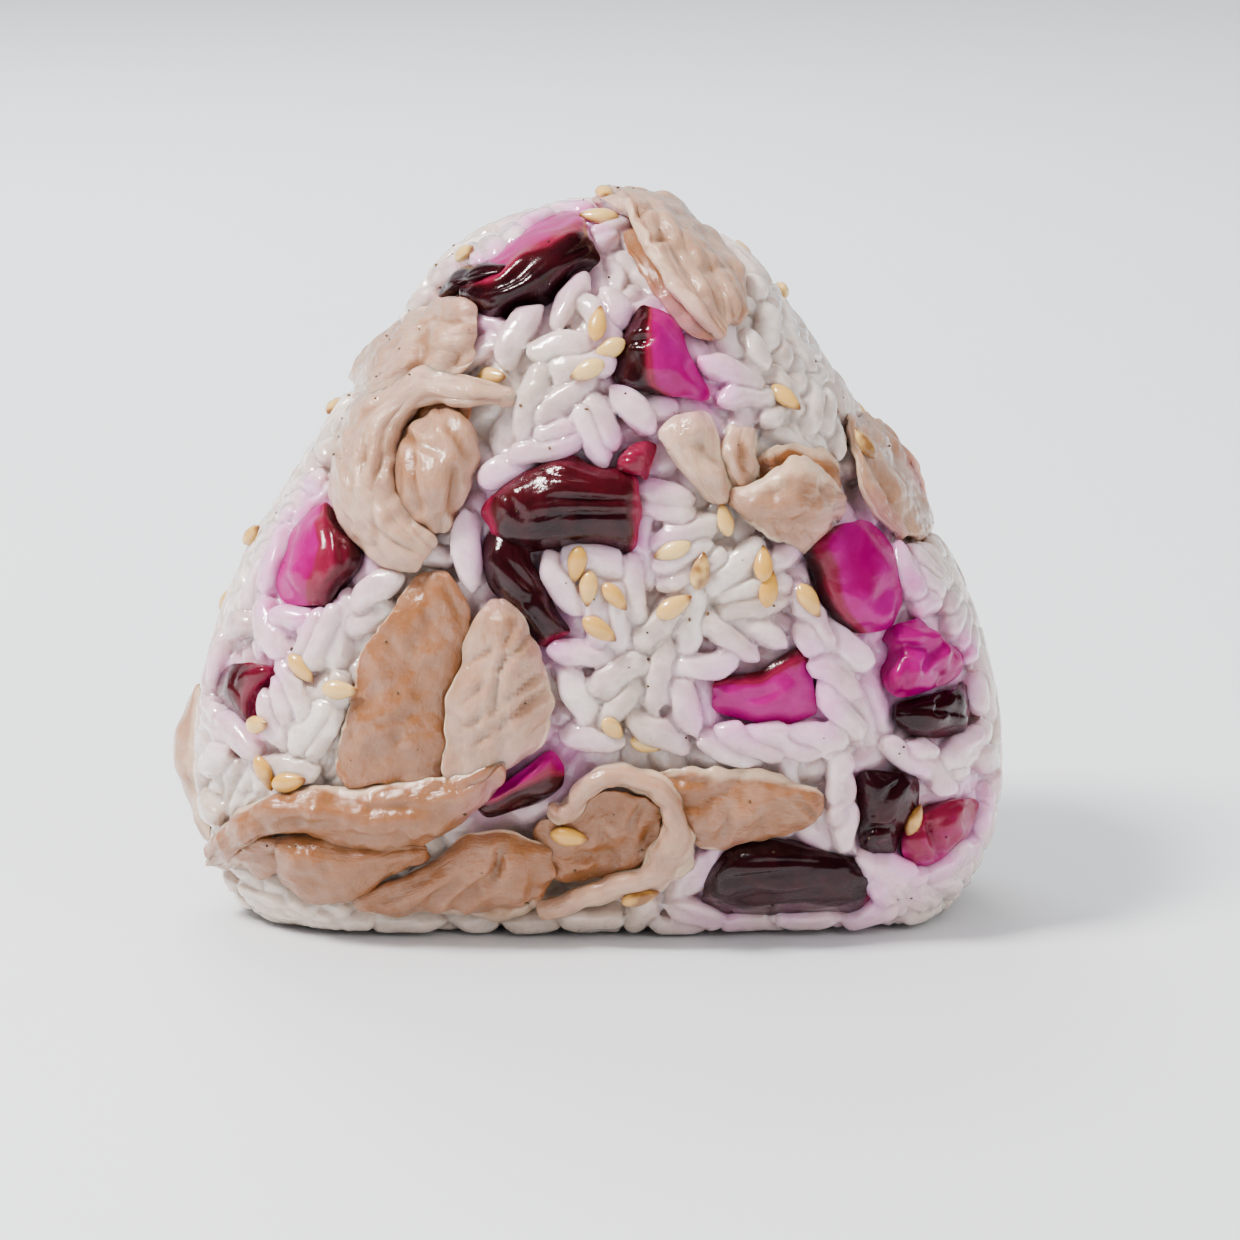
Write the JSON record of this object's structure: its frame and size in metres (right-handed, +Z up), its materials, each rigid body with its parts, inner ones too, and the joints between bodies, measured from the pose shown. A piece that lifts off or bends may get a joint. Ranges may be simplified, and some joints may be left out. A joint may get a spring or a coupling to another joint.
{
  "type": "onigiri rice ball",
  "caption": "Three-cornered onigiri rice ball with thin slices of boiled pork, chunks of purple pickled eggplant and sesame seeds pressed into its surface.",
  "frame": {"origin": "middle of the flat base that the rice ball stands on", "axes": "+Z up through the rounded top corner, +X to the right along the base as seen from the front, -Y towards the broad front face"},
  "size_m": [0.0837, 0.0496, 0.0725],
  "materials": {
    "rice": "moist cooked short-grain rice, translucent white with small wet highlights",
    "pork": "thin boiled pork, pale greyish tan with paler fat along its edges, moist",
    "pickle": "pickled eggplant, near-black purple wrinkled glossy skin and bright magenta flesh",
    "sesame": "toasted hulled sesame seed, pale golden with a brown tip"
  },
  "bodies": {
    "root": {"rice": "rice", "pickle_top_left": "pickle", "pickle_top_corner": "pickle", "pickle_upper": "pickle", "pickle_left": "pickle", "pickle_centre": "pickle", "pickle_centre_tip": "pickle", "pickle_strip": "pickle", "pickle_disc": "pickle", "pickle_right_pink": "pickle", "pickle_right_dark": "pickle", "pickle_mid_right": "pickle", "pickle_low_right": "pickle", "pickle_right_corner": "pickle", "pickle_bottom": "pickle", "pickle_left_small": "pickle", "pickle_sliver": "pickle", "pickle_back_high": "pickle", "pickle_back_right": "pickle", "pickle_back_disc": "pickle", "pickle_back_left": "pickle", "pickle_back_low": "pickle", "pickle_back_middle": "pickle", "pickle_left_side": "pickle", "pickle_right_side": "pickle", "pork_top": "pork", "pork_curl": "pork", "pork_ruffle_right": "pork", "pork_side_right": "pork", "pork_fold_band": "pork", "pork_leaf": "pork", "pork_ruffle_bottom": "pork", "pork_bottom_right": "pork", "pork_bottom_mid": "pork", "pork_bulge": "pork", "pork_left_edge": "pork", "pork_back_wide": "pork", "pork_back_curl": "pork", "pork_back_ruffle": "pork", "pork_back_top": "pork", "pork_right_low": "pork"}
  },
  "joints": []
}
